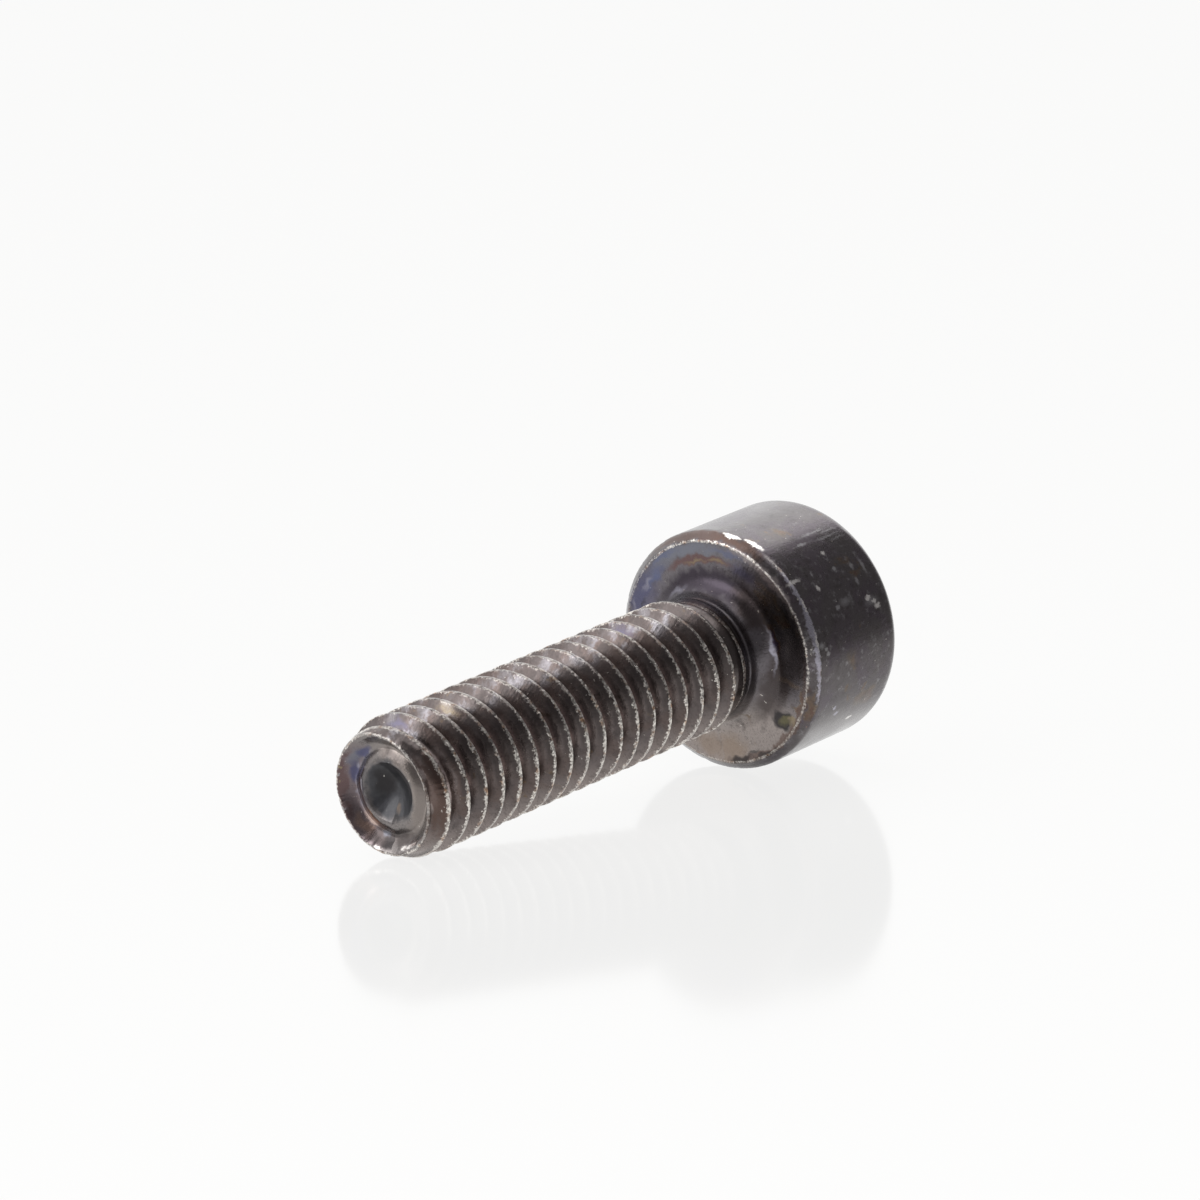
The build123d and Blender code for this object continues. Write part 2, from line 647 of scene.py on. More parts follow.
        across = at(step, 0) - at(-step, 0)
        lengthwise = at(0, step) - at(0, -step)
        normal = np.cross(across, lengthwise)
        normal *= np.sign(np.sum(normal * np.c_[0 * reach, points[:, 1:]], axis=1))[:, None]
        normal /= np.linalg.norm(normal, axis=1, keepdims=True)
        return normal @ self.axis.rows()

    def finished(self) -> bpy.types.Object:
        """Puts the points, faces, attributes and normals into a mesh object.

        Returns:
            The object.
        """
        local = np.concatenate(self.work.points)
        facts = np.concatenate(self.work.facts)
        faces = self.work.tidy_faces()
        used = np.zeros(len(local), bool)
        used[np.concatenate([np.array(f) for f in faces])] = True
        renumber = np.cumsum(used) - 1
        faces = [renumber[f].tolist() for f in faces]
        local, facts = local[used], facts[used]
        mesh = bpy.data.meshes.new(self.name)
        mesh.from_pydata(self.axis.place(local).tolist(), [], faces)
        for index, label in enumerate(("from_crest", "rim")):
            attribute = mesh.attributes.new(label, "FLOAT", "POINT")
            attribute.data.foreach_set("value", facts[:, index].astype(np.float32))
        mesh.update()
        mesh.validate()
        mesh.polygons.foreach_set("use_smooth", np.ones(len(mesh.polygons), bool))
        mesh.set_sharp_from_angle(angle=radians(self.sharp_angle))
        threaded = local[:, 0] > self.thread.start_reach + 0.01
        threaded &= (local[:, 0] < self.thread.end_reach - 0.01) & (facts[:, 0] < FAR)
        normals = np.zeros_like(local)
        normals[threaded] = self.flank_normals(local[threaded])
        mesh.normals_split_custom_set_from_vertices(normals.tolist())
        piece = bpy.data.objects.new(self.name, mesh)
        bpy.context.scene.collection.objects.link(piece)
        return piece


class Step(Enum):
    """Sums that Math and Vector Math nodes do here."""

    ADD = "ADD"
    TAKE = "SUBTRACT"
    TIMES = "MULTIPLY"
    ANGLE = "ARCTAN2"
    MOST = "MAXIMUM"


@dataclass
class Sheet:
    """A node tree and short ways to put nodes into it."""

    tree: bpy.types.NodeTree

    def set(self, socket: Socket, value: object) -> None:
        """Gives a socket a value.

        Args:
            socket: the input.
            value: another node's output to link to it, a plain value, or None to leave it.
        """
        if isinstance(value, Socket):
            self.tree.links.new(value, socket)
        elif value is not None:
            socket.default_value = value

    def node(self, kind: str, *values: object, **settings: object) -> bpy.types.Node:
        """Adds a node.

        Args:
            kind: its Blender type.
            values: what its inputs take, from the first on.
            settings: its properties by name.

        Returns:
            The node.
        """
        made = self.tree.nodes.new(kind)
        for key, value in settings.items():
            setattr(made, key, value)
        for socket, value in zip(made.inputs, values):
            self.set(socket, value)
        return made

    def math(self, step: Step, a: object, b: object) -> Socket:
        """The sum of two numbers that a Math node works out."""
        return self.node("ShaderNodeMath", a, b, operation=step.value).outputs[0]

    def times(self, a: object, b: object) -> Socket:
        """The product of two numbers."""
        return self.math(Step.TIMES, a, b)

    def vector(self, step: Step, a: object, b: object) -> Socket:
        """The sum of two vectors that a Vector Math node works out."""
        return self.node("ShaderNodeVectorMath", a, b, operation=step.value).outputs[0]

    def length(self, vector: object) -> Socket:
        """A vector's length."""
        return self.node("ShaderNodeVectorMath", vector, operation="LENGTH").outputs["Value"]

    def dot(self, a: object, b: object) -> Socket:
        """The dot product of two vectors."""
        return self.node("ShaderNodeVectorMath", a, b, operation="DOT_PRODUCT").outputs["Value"]

    def parts(self, vector: object) -> bpy.types.NodeOutputs:
        """The three parts of a vector, by the names X, Y and Z."""
        return self.node("ShaderNodeSeparateXYZ", vector).outputs

    def span(self, value: object, low: float, high: float, start: float = 0.0,
             stop: float = 1.0) -> Socket:
        """A smooth step of a value: start up to low, and stop from high on."""
        return self.node("ShaderNodeMapRange", value, low, high, start, stop,
                         interpolation_type="SMOOTHSTEP").outputs[0]

    def mix(self, share: object, a: object, b: object) -> Socket:
        """Mixes two colours.

        Args:
            share: how much of the second there is, from 0 to 1.
            a: the first colour or its socket.
            b: the second.

        Returns:
            The mixed colour's socket.
        """
        made = self.node("ShaderNodeMix", share, data_type="RGBA")
        for label, colour in (("A", a), ("B", b)):
            self.set(made.inputs[label], (*colour, 1.0) if isinstance(colour, tuple) else colour)
        return made.outputs["Result"]

    def blend(self, share: object, a: object, b: object) -> Socket:
        """Number a where share is 0 and number b where it is 1."""
        return self.node("ShaderNodeMix", share, None, a, b, data_type="FLOAT").outputs[0]

    def noise(self, place: object, scale: float, detail: float = 3.0, rough: float = 0.55,
              bend: float = 0.0) -> Socket:
        """Noise of about 0 to 1.

        Args:
            place: the coordinates that it reads.
            scale: its cells to a unit.
            detail: its octaves.
            rough: how strong the fine octaves are.
            bend: how far it is pulled about.

        Returns:
            Its value's socket.
        """
        made = self.node("ShaderNodeTexNoise", place)
        for label, value in (("Scale", scale), ("Detail", detail), ("Roughness", rough),
                             ("Distortion", bend)):
            self.set(made.inputs[label], value)
        return made.outputs["Fac"]

    def warped(self, place: object, scale: float, much: float) -> Socket:
        """The screw's coordinates pulled about by noise: place + (noise - 0.5) * much.

        Args:
            place: the screw's own coordinates.
            scale: the noise's cells to a millimetre.
            much: how far it pulls; the usual pull is about a fifth of it.

        Returns:
            The pulled coordinates' socket.
        """
        noise = self.node("ShaderNodeTexNoise", place, None, scale)
        pull = self.vector(Step.TAKE, noise.outputs["Color"], (0.5, 0.5, 0.5))
        pull = self.vector(Step.TIMES, pull, (much, much, much))
        return self.vector(Step.ADD, place, pull)

    def polar(self, place: object) -> Socket:
        """Reach, radius and azimuth in degrees: (x, length of (y, z), angle of y over z).

        Args:
            place: the screw's own coordinates.

        Returns:
            The three as a vector's socket.
        """
        parts = self.parts(place)
        radius = self.length(self.vector(Step.TIMES, place, (0.0, 1.0, 1.0)))
        turn = self.times(self.math(Step.ANGLE, parts["Y"], parts["Z"]), float(np.degrees(1)))
        return self.node("ShaderNodeCombineXYZ", parts["X"], radius, turn).outputs[0]

    def stretched(self, place: object, scale: Place) -> Socket:
        """The coordinates with each of their parts scaled, so that a pattern runs one way."""
        return self.node("ShaderNodeMapping", place, None, None, scale).outputs["Vector"]

    def attribute(self, label: str) -> Socket:
        """A number that the mesh carries at its points."""
        return self.node("ShaderNodeAttribute", attribute_name=label).outputs["Fac"]


# Several of these colours are also laid as painted shade, painted highlights and painted reflections,
# as said where they are used
SOOT_AND_SHADE: Colour = (0.018, 0.015, 0.016)
INDIGO: Colour = (0.042, 0.034, 0.045)
RUST: Colour = (0.100, 0.062, 0.050)
LILAC_AND_SHEEN: Colour = (0.27, 0.26, 0.31)
OLIVE: Colour = (0.10, 0.09, 0.045)
BARE_AND_GLINT: Colour = (0.78, 0.75, 0.72)
PALE: Colour = (0.36, 0.35, 0.36)
ROSE_AND_SHEEN: Colour = (0.30, 0.26, 0.26)
TAN: Colour = (0.25, 0.215, 0.195)
BRONZE_AND_GLINT: Colour = (0.21, 0.155, 0.115)
GOLD: Colour = (0.24, 0.19, 0.12)
COPPER: Colour = (0.45, 0.28, 0.18)
SLATE_PAINTED_SHADE: Colour = (0.050, 0.052, 0.060)
EARTH: Colour = (0.060, 0.047, 0.045)
FROST_AND_SHEEN: Colour = (0.40, 0.385, 0.45)
DEEP: Colour = (0.068, 0.070, 0.14)
BLUE: Colour = (0.10, 0.115, 0.20)
GREY: Colour = (0.15, 0.157, 0.19)
VIOLET: Colour = (0.095, 0.088, 0.14)
PLUM: Colour = (0.115, 0.068, 0.066)
STRAW: Colour = (0.20, 0.15, 0.095)
PINK: Colour = (0.17, 0.12, 0.12)
MAUVE: Colour = (0.17, 0.13, 0.14)
CLAY: Colour = (0.58, 0.44, 0.38)
BRICK: Colour = (0.28, 0.19, 0.155)
ASH_PAINTED_LIGHT: Colour = (0.18, 0.165, 0.165)


def on_face(radius: float, azimuth: float, tall: float, wide: float) -> tuple[Place, Place]:
    """Middle and half sizes of a patch on the bearing face or its fillet."""
    return (0.15, radius, azimuth), (0.6, tall, wide)


def on_side(reach: float, azimuth: float, long: float, wide: float) -> tuple[Place, Place]:
    """Middle and half sizes of a patch on the head's side."""
    return (reach, 3.44, azimuth), (long, 0.3, wide)


def on_bevel(azimuth: float, wide: float) -> tuple[Place, Place]:
    """Middle and half sizes of a patch across the head's bevelled edge."""
    return (-0.14, 3.36, azimuth), (0.17, 0.22, wide)


def on_rim(reach: float, radius: float, azimuth: float, long: float, wide: float
           ) -> tuple[Place, Place]:
    """Middle and half sizes of a patch on the outer edge of the bevel."""
    return (reach, radius, azimuth), (long, 0.2, wide)


def on_end(radius: float, azimuth: float, tall: float, wide: float) -> tuple[Place, Place]:
    """Middle and half sizes of a patch on the dished end."""
    return (13.8, radius, azimuth), (0.9, tall, wide)


def on_tip(radius: float, azimuth: float, tall: float, wide: float) -> tuple[Place, Place]:
    """Middle and half sizes of a patch on the rim of the dished end only."""
    return (13.97, radius, azimuth), (0.3, tall, wide)


def on_thread(reach: float, azimuth: float, long: float, wide: float) -> tuple[Place, Place]:
    """Middle and half sizes of a patch on the thread's flanks and roots."""
    return (reach, 1.72, azimuth), (long, 0.45, wide)


PATCH_REACH = 1.25


@dataclass(frozen=True)
class Patch:
    """A rounded patch on the screw, in its reach, radius and azimuth.

    It has its full strength inside its core, which is a share of its half size, and fades out to
    nothing at PATCH_REACH half sizes.
    """

    middle: Place
    half: Place
    strength: float
    core: float

    @classmethod
    def each(cls, place: Callable[..., tuple[Place, Place]], *rows: tuple) -> "tuple[Patch, ...]":
        """Makes patches in one zone of the screw.

        Args:
            place: the function that places a patch in the zone.
            rows: for each patch what that function takes, then strength, core and colour or level.

        Returns:
            The patches.
        """
        return tuple(cls(*place(*row[:-3]), *row[-3:]) for row in rows)

    def mask(self, sheet: Sheet, polar: object) -> Socket:
        """How much of the patch there is: a smooth step of the distance from its middle.

        Args:
            sheet: the material's nodes.
            polar: reach, radius and azimuth in degrees, as a vector.

        Returns:
            The share's socket, from 0 outside to its strength in its core.
        """
        scale = [1 / h for h in self.half]
        shift = [-m / h for m, h in zip(self.middle, self.half)]
        away = sheet.node("ShaderNodeVectorMath", polar, scale, shift, operation="MULTIPLY_ADD")
        distance = sheet.length(away.outputs["Vector"])
        return sheet.span(distance, self.core, PATCH_REACH, self.strength, 0.0)


@dataclass(frozen=True)
class Stain(Patch):
    """A patch with a colour of its own: soot, worn or bare metal, and in some places painted shade,
    highlights and reflections.
    """

    colour: Colour


@dataclass(frozen=True)
class Temper(Patch):
    """A patch of temper colour: the level runs from straw through brown and blue to grey."""

    level: float


# Patches by zone. A row holds what the zone's function takes, which is the reach or radius, the
# azimuth, and the half sizes along and round, then the strength, the core and the level or colour.
TEMPERS = (
    *Temper.each(on_face,
        (2.62, 48, 0.50, 22, 0.45, 0.45, 0.48), (2.20, 73, 0.15, 18, 0.8, 0.2, 0.68),
        (3.07, 109, 0.12, 10, 0.4, 0.45, 0.66),
    ),
    *Temper.each(on_bevel,
        (112, 12, 0.4, 0.45, 0.66),
    ),
    *Temper.each(on_side,
        (-1.76, 93, 0.5, 7, 0.3, 0.1, 0.70), (-3.00, 103, 0.7, 9, 0.35, 0.1, 0.38),
        (-1.3, 22, 0.9, 11, 0.35, 0.1, 0.38), (-2.6, 118, 0.8, 9, 0.4, 0.1, 0.80),
    ),
)
STAINS = (
    *Stain.each(on_face,
        (2.92, -62, 0.42, 30, 0.8, 0.3, DEEP), (2.80, -46, 0.16, 12, 0.8, 0.1, BLUE),
        (3.00, -18, 0.26, 34, 0.85, 0.3, GREY), (3.04, -34, 0.10, 12, 0.7, 0.1, BLUE),
        (3.00, 12, 0.12, 14, 0.6, 0.1, BLUE), (2.68, 25, 0.24, 14, 0.8, 0.2, VIOLET),
        (2.88, -54, 0.09, 7, 0.6, 0.1, LILAC_AND_SHEEN), (3.02, -70, 0.07, 5, 0.5, 0.1, LILAC_AND_SHEEN),
        (2.72, -68, 0.07, 6, 0.5, 0.1, SOOT_AND_SHADE), (2.67, -9, 0.15, 26, 1.0, 0.6, PLUM),
        (2.62, -12, 0.07, 9, 0.9, 0.2, STRAW), (2.66, 5, 0.07, 8, 0.9, 0.2, STRAW),
        (2.50, -60, 0.20, 15, 0.6, 0.2, VIOLET), (2.08, -12, 0.40, 66, 0.85, 0.55, INDIGO),
        (2.22, 112, 0.42, 30, 0.8, 0.6, EARTH), (2.10, 45, 0.34, 22, 0.8, 0.6, EARTH),
        # Painted highlight and reflection on the fillet: a pale lilac spot near azimuth -36 and a pale
        # blue-white streak near azimuth 79
        (2.04, -36, 0.12, 12, 0.6, 0.0, LILAC_AND_SHEEN), (2.12, 79, 0.08, 19, 0.9, 0.2, FROST_AND_SHEEN),
        # A lighter band on the face's rim near azimuth 46, partly wear and partly a painted reflection
        # of a rolled edge
        (3.12, 46, 0.14, 34, 0.85, 0.45, ROSE_AND_SHEEN), (3.14, 138, 0.12, 50, 0.75, 0.6, RUST),
        (2.80, 174, 0.45, 15, 0.7, 0.4, BRONZE_AND_GLINT), (2.80, -172, 0.45, 12, 0.6, 0.4, BRONZE_AND_GLINT),
        (2.85, -88, 0.60, 14, 0.6, 0.4, EARTH), (2.62, 103, 0.42, 2.4, 0.5, 0.2, BRONZE_AND_GLINT),
        (2.74, 126.5, 0.30, 6.0, 0.95, 0.75, SOOT_AND_SHADE), (2.78, 126.0, 0.17, 3.6, 0.9, 0.45, OLIVE),
        (2.98, 124.0, 0.14, 3.4, 0.85, 0.45, GOLD), (3.12, 167, 0.13, 9, 0.85, 0.45, SOOT_AND_SHADE),
        (3.17, 150, 0.10, 9, 0.75, 0.45, SOOT_AND_SHADE), (3.00, 158, 0.08, 4, 0.7, 0.45, SOOT_AND_SHADE),
    ),
    *Stain.each(on_bevel,
        (-12, 34, 0.7, 0.6, RUST), (16, 16, 0.85, 0.6, RUST), (150, 30, 0.5, 0.45, SOOT_AND_SHADE),
    ),
    *Stain.each(on_side,
        # Painted light: a lighter grey on the lower head side near azimuth 133
        (-2.0, 133, 2.3, 18, 0.8, 0.3, ASH_PAINTED_LIGHT),
    ),
    *Stain.each(on_thread,
        (4.10, 4, 0.13, 17, 0.7, 0.0, VIOLET), (13.24, 1, 0.11, 18, 0.75, 0.0, VIOLET),
        (11.74, 14, 0.12, 13, 0.7, 0.0, GOLD), (1.05, 6, 0.30, 9, 0.6, 0.0, PLUM),
    ),
    *Stain.each(on_end,
        (1.40, -105, 0.42, 68, 0.8, 0.75, MAUVE), (1.60, -92, 0.13, 44, 0.8, 0.6, PLUM),
        (1.37, -52, 0.20, 16, 0.8, 0.2, GREY), (1.27, -42, 0.18, 13, 0.9, 0.4, DEEP),
        (1.28, -73, 0.18, 17, 0.9, 0.4, DEEP), (1.23, -62, 0.06, 5, 0.8, 0.2, LILAC_AND_SHEEN),
        (1.20, -100, 0.10, 24, 0.8, 0.3, LILAC_AND_SHEEN), (1.10, -50, 0.08, 22, 0.7, 0.3, LILAC_AND_SHEEN),
        (1.42, -137, 0.13, 15, 0.85, 0.4, BRICK), (1.14, -142, 0.15, 24, 0.85, 0.4, CLAY),
        (1.30, 160, 0.20, 30, 0.8, 0.5, EARTH), (1.36, -168, 0.19, 22, 0.85, 0.5, EARTH),
        (1.10, -172, 0.07, 16, 0.8, 0.3, CLAY), (1.28, -167, 0.10, 7, 0.7, 0.2, GREY),
        (1.03, -108, 0.07, 24, 0.8, 0.3, PINK), (0.90, -92, 0.06, 38, 0.8, 0.45, INDIGO),
        (0.98, -76, 0.04, 26, 0.85, 0.45, FROST_AND_SHEEN), (1.00, -140, 0.05, 18, 0.85, 0.45, COPPER),
        (1.15, 65, 0.34, 84, 0.8, 0.75, TAN), (1.06, 10, 0.15, 24, 0.65, 0.4, EARTH),
        (1.62, 82, 0.12, 42, 0.85, 0.6, RUST), (1.80, 85, 0.12, 46, 0.85, 0.6, RUST),
        (1.43, 105, 0.10, 7, 0.9, 0.45, EARTH), (1.42, -176, 0.16, 9, 0.8, 0.45, SOOT_AND_SHADE),
        # Painted shade and light in the cup: it is darkened all over and on its wall round azimuth -60,
        # with a lighter painted patch near azimuth 60 and a painted bronze glint near azimuth 172
        (0.25, 0, 0.56, 400, 0.9, 0.85, SLATE_PAINTED_SHADE), (0.34, -60, 0.36, 80, 0.8, 0.5, SOOT_AND_SHADE),
        (0.62, 60, 0.20, 52, 0.6, 0.3, ASH_PAINTED_LIGHT), (0.76, 174, 0.10, 26, 0.7, 0.3, SOOT_AND_SHADE),
        (0.52, 172, 0.16, 18, 0.7, 0.1, BRONZE_AND_GLINT),
    ),
)
MARKS = (
    *Stain.each(on_rim,
        (-0.24, 3.43, 55, 0.06, 13, 0.8, 0.5, FROST_AND_SHEEN), (-0.22, 3.43, 71, 0.10, 9, 0.85, 0.5, FROST_AND_SHEEN),
        (-0.23, 3.43, 86, 0.08, 11, 0.85, 0.5, FROST_AND_SHEEN), (-0.25, 3.43, 101, 0.05, 8, 0.7, 0.4, FROST_AND_SHEEN),
        (-0.27, 3.44, 61, 0.03, 5, 0.8, 0.45, BARE_AND_GLINT), (-0.27, 3.44, 78, 0.03, 6, 0.8, 0.45, BARE_AND_GLINT),
        # Painted highlights: two bare-metal patches on the bevel's outer edge near its top, laid where
        # the lamps' highlights fall
        (-0.25, 3.44, 10.5, 0.075, 4.8, 1.0, 0.85, BARE_AND_GLINT),
        (-0.36, 3.44, 22.6, 0.10, 5.2, 1.0, 0.85, BARE_AND_GLINT),
    ),
    *Stain.each(on_side,
        (-1.74, 33, 0.24, 0.9, 0.9, 0.2, PALE), (-2.5, 29, 0.75, 0.8, 0.5, 0.1, PALE),
        (-3.00, 31, 0.45, 0.8, 0.5, 0.1, PALE), (-2.8, 34, 0.6, 0.9, 0.6, 0.1, PALE),
        (-3.1, 36.5, 0.4, 0.8, 0.45, 0.1, PALE), (-2.16, 41.2, 0.09, 1.2, 0.95, 0.45, BARE_AND_GLINT),
        (-1.20, 49, 0.05, 1.6, 0.85, 0.45, PALE), (-1.11, 56, 0.08, 1.6, 0.95, 0.45, BARE_AND_GLINT),
        (-2.13, 50.8, 0.08, 1.2, 0.9, 0.45, PALE), (-2.81, 52.2, 0.08, 2.2, 0.8, 0.2, PALE),
        (-3.24, 54, 0.07, 4.4, 0.8, 0.2, PALE), (-2.71, 59.8, 0.07, 2.2, 0.7, 0.2, PALE),
        (-0.40, 48.8, 0.30, 1.1, 0.95, 0.2, BARE_AND_GLINT), (-1.90, 66.5, 0.30, 2.2, 0.6, 0.0, PALE),
        (-1.52, 67.8, 0.10, 1.4, 0.9, 0.45, PALE), (-2.94, 71.0, 0.34, 2.6, 0.6, 0.0, PALE),
        (-2.84, 69.0, 0.13, 1.3, 0.95, 0.45, BARE_AND_GLINT), (-3.05, 71.6, 0.10, 1.1, 0.9, 0.45, BARE_AND_GLINT),
        (-3.14, 74.0, 0.13, 1.5, 0.95, 0.45, BARE_AND_GLINT), (-0.42, 81.2, 0.16, 1.8, 0.8, 0.1, PALE),
        (-0.66, 86, 0.09, 1.2, 0.9, 0.45, PALE), (-0.60, 83.5, 0.07, 1.0, 0.9, 0.45, PALE),
        (-1.23, 117, 0.08, 1.3, 0.9, 0.45, FROST_AND_SHEEN), (-1.42, 121, 0.10, 1.1, 0.9, 0.45, FROST_AND_SHEEN),
        (-2.36, 129.5, 0.16, 1.2, 0.9, 0.45, BARE_AND_GLINT),
    ),
    *Stain.each(on_tip,
        (1.60, -71, 0.04, 2.0, 0.9, 0.45, GOLD), (1.61, -79, 0.03, 1.6, 0.9, 0.45, PALE),
        (1.58, -86, 0.04, 1.6, 0.8, 0.45, GOLD), (1.62, -112, 0.04, 2.4, 0.9, 0.45, PALE),
        (1.60, -165, 0.05, 6, 0.9, 0.1, BARE_AND_GLINT), (1.51, 163, 0.05, 5, 1.0, 0.45, BARE_AND_GLINT),
        (1.50, 150, 0.04, 12, 0.9, 0.45, BARE_AND_GLINT),
    ),
)


@dataclass(frozen=True)
class OxideSteel:
    """Dark oxide on steel: brown and violet greys, temper colours, bare metal on worn edges, and
    painted sheens, highlights and shade.
    """

    side: Colour = (0.100, 0.088, 0.090)
    side_violet: Colour = (0.094, 0.076, 0.090)
    face_high: Colour = (0.135, 0.122, 0.132)
    face_low: Colour = (0.26, 0.225, 0.21)
    shank: Colour = (0.120, 0.100, 0.097)
    shank_brown: Colour = (0.118, 0.088, 0.080)
    # Painted light and shade of the thread: the lighter underside, the dark streaks and side band, the
    # light sheen streaks, and the light roots of the side band (hollow)
    shank_painted_under_light: Colour = (0.285, 0.243, 0.228)
    shank_painted_shade: Colour = (0.060, 0.048, 0.046)
    painted_sheen: Colour = (0.23, 0.215, 0.23)
    hollow: Colour = (0.58, 0.48, 0.46)
    end: Colour = (0.20, 0.18, 0.175)
    dirt: Colour = (0.035, 0.027, 0.025)
    crest: Colour = (0.90, 0.86, 0.80)
    crest_low: float = 0.30
    tempers: tuple[tuple[float, Colour], ...] = (
        (0.10, (0.12, 0.10, 0.085)), (0.24, (0.155, 0.105, 0.06)), (0.38, (0.12, 0.07, 0.06)),
        (0.52, (0.09, 0.065, 0.105)), (0.66, (0.045, 0.055, 0.13)), (0.80, (0.11, 0.125, 0.19)),
        (0.95, (0.24, 0.24, 0.28)),
    )
    coat: float = 0.4
    coat_roughness: float = 0.14
    roughness: float = 0.25
    crest_roughness: float = 0.38
    cup_roughness: float = 0.5
    bump_height: float = 0.012

    def coordinates(self, sheet: Sheet, axis: ScrewAxis) -> Socket:
        """Object coordinates turned to the screw's own frame, in millimetres.

        Args:
            sheet: the material's nodes.
            axis: where the screw lies.

        Returns:
            The coordinates' socket.
        """
        own = sheet.node("ShaderNodeTexCoord").outputs["Object"]
        turn = Matrix(axis.rows().T.tolist()).to_euler()
        place = sheet.node("ShaderNodeMapping", own, axis.base.tolist(), turn, (MM, MM, MM),
                           vector_type="TEXTURE")
        return place.outputs["Vector"]

    def shank_colour(self, sheet: Sheet, polar: object, crest: object, cloud: object,
                     reach: object, height: object) -> Socket:
        """Colour of the thread: its oxide with painted light laid in, painted sheens above, painted
        shade at the side and a lighter painted underside.

        Each part has a span of azimuth in degrees that it fades in and out over.

        Args:
            sheet: the material's nodes.
            polar: reach, radius and azimuth.
            crest: distance from the nearest crest.
            cloud: broad noise.
            reach: distance from the bearing face.
            height: height above the screw's axis.

        Returns:
            The colour's socket.
        """
        turn = sheet.parts(polar)["Z"]
        streak = sheet.noise(sheet.stretched(polar, (2.3, 0.6, 0.05)), 1.0, 3.0, 0.6)
        # Painted sheen and shade: on the upper band, noise lays light sheen streaks with darker painted
        # streaks between them
        top = sheet.times(sheet.span(turn, -30, 0), sheet.span(turn, 34, 22))
        light = sheet.times(top, sheet.span(streak, 0.50, 0.64))
        dark = sheet.times(top, sheet.span(streak, 0.50, 0.38, 0.0, 0.8))
        colour = sheet.mix(sheet.span(cloud, 0.40, 0.62), self.shank, self.shank_brown)
        colour = sheet.mix(light, colour, self.painted_sheen)
        colour = sheet.mix(dark, colour, self.shank_painted_shade)
        # Painted shade: a darker line along the very top of the thread
        dip = sheet.times(sheet.span(turn, -12, -3), sheet.span(turn, 10, 3, 0.0, 0.65))
        colour = sheet.mix(dip, colour, self.shank_painted_shade)
        # Painted shade: the band from azimuth 36 to 106 turns dark, except in its roots away from the
        # neck, where the hollow colour lays painted light
        side = sheet.times(sheet.span(turn, 36, 54, 0.0, 0.9), sheet.span(turn, 106, 84))
        hollow = sheet.times(sheet.span(crest, 0.10, 0.28), sheet.span(reach, 1.6, 2.4))
        deep = sheet.mix(hollow, self.shank_painted_shade, self.hollow)
        colour = sheet.mix(side, colour, deep)
        # Painted light: the lower side of the thread turns lighter
        return sheet.mix(sheet.span(height, -0.6, -1.7), colour, self.shank_painted_under_light)

    def zones(self, sheet: Sheet, place: object, polar: object, crest: object, cloud: object) -> Socket:
        """Oxide colour of the head's side, bearing face and end, and the shank's oxide with its painted
        sheens and shade.

        Args:
            sheet: the material's nodes.
            place: the screw's own coordinates.
            polar: reach, radius and azimuth.
            crest: distance from the nearest crest.
            cloud: broad noise.

        Returns:
            The colour's socket.
        """
        parts = sheet.parts(place)
        reach, height = parts["X"], parts["Z"]
        head = sheet.mix(sheet.span(cloud, 0.42, 0.62), self.side, self.side_violet)
        scuff = sheet.noise(sheet.stretched(polar, (3.5, 3.5, 0.22)), 1.0, 4.0, 0.7)
        scuff = sheet.times(sheet.span(scuff, 0.54, 0.70, 0.0, 0.5),
                            sheet.span(sheet.parts(polar)["Z"], 22, 44, 0.3, 1.0))
        head = sheet.mix(scuff, head, PALE)
        uneven = sheet.math(Step.ADD, height, sheet.times(cloud, 1.2))
        face = sheet.mix(sheet.span(uneven, -0.1, -1.3), self.face_high, self.face_low)
        head = sheet.mix(sheet.span(reach, -0.04, 0.0), head, face)
        head = sheet.mix(sheet.span(reach, 8.0, 9.0), head, self.end)
        shank = self.shank_colour(sheet, polar, crest, cloud, reach, height)
        return sheet.mix(sheet.span(crest, 0.36, 0.9), shank, head)

    def tempered(self, sheet: Sheet, polar: object, place: object, plain: object) -> Socket:
        """Lays the temper colours over the oxide colour, with its painted sheens and shade.

        A level is mixed towards each patch's own, made uneven with noise, and read as a colour.

        Args:
            sheet: the material's nodes.
            polar: warped reach, radius and azimuth.
            place: the screw's own coordinates.
            plain: the oxide's colour, with the thread's painted sheens and shade.

        Returns:
            The colour's socket.
        """
        level = sheet.span(sheet.noise(place, 1.3, 4.0, 0.6, 0.5), 0.54, 0.78, 0.0, 0.35)
        for patch in TEMPERS:
            level = sheet.blend(patch.mask(sheet, polar), level, patch.level)
        streaks = sheet.noise(sheet.stretched(polar, (3.0, 7.0, 0.10)), 1.0, 3.0, 0.6)
        grain = sheet.noise(place, 6.0, 4.0, 0.65)
        for noise, much in ((streaks, 0.5), (grain, 0.14)):
            off = sheet.times(sheet.math(Step.TAKE, noise, 0.5), much)
            level = sheet.math(Step.ADD, level, sheet.times(off, sheet.span(level, 0.06, 0.3)))
        ramp = sheet.node("ShaderNodeValToRGB")
        stops = ramp.color_ramp.elements
        while len(stops) < len(self.tempers):
            stops.new(0.5)
        for stop, (at, colour) in zip(stops, self.tempers):
            stop.position, stop.color = at, (*colour, 1.0)
        sheet.set(ramp.inputs[0], level)
        return sheet.mix(sheet.span(level, 0.05, 0.4), plain, ramp.outputs["Color"])

